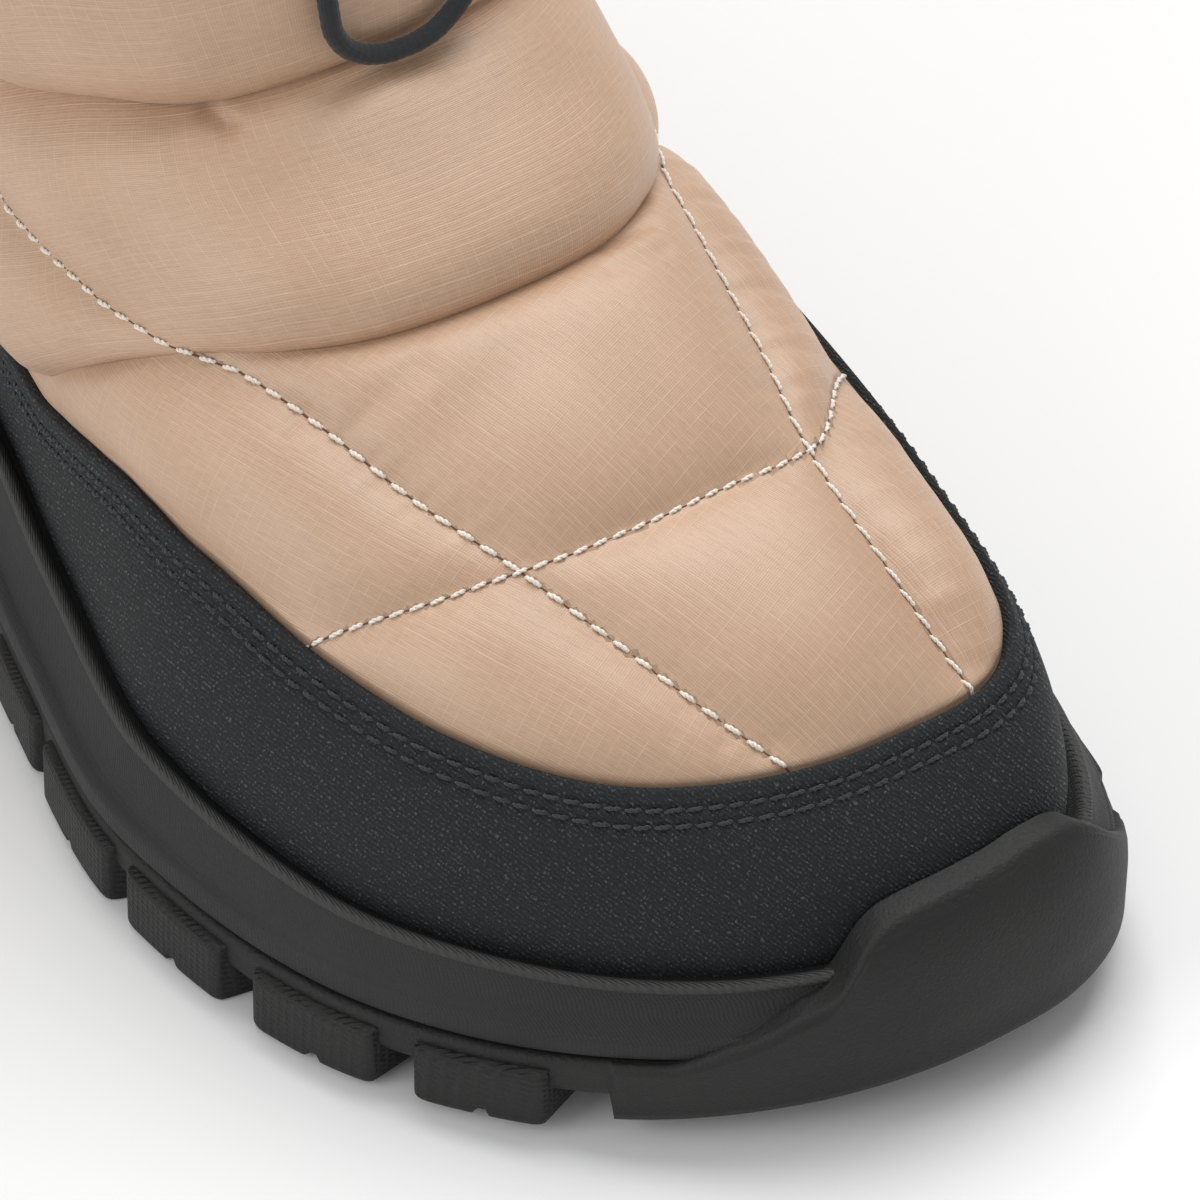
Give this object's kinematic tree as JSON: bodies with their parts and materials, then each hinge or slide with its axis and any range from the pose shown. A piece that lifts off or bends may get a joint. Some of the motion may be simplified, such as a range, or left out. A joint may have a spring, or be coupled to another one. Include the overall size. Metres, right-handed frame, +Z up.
{
  "type": "winter boot",
  "caption": "Quilted pull-on winter boot for the right foot with a textile rand, moulded midsole wall, lugged outsole with toe bumper and a hanging cord loop.",
  "frame": {"origin": "bottom centre of the bounding box, on the floor under the lugs", "axes": "+X from heel to toe, +Y to the wearer's left, which is the medial side of this right boot, +Z up"},
  "size_m": [0.3012, 0.1215, 0.2102],
  "materials": {
    "tan_nylon": "satin",
    "black_textile": "matt",
    "grey_wall": "matt",
    "black_rubber": "matt",
    "dark_felt": "matt",
    "black_cord": "satin"
  },
  "bodies": {
    "root": {"upper": "tan_nylon", "rand": "black_textile", "midsole": "grey_wall", "outsole": "black_rubber", "insole": "dark_felt", "drawcord_loop": "black_cord"}
  },
  "joints": []
}
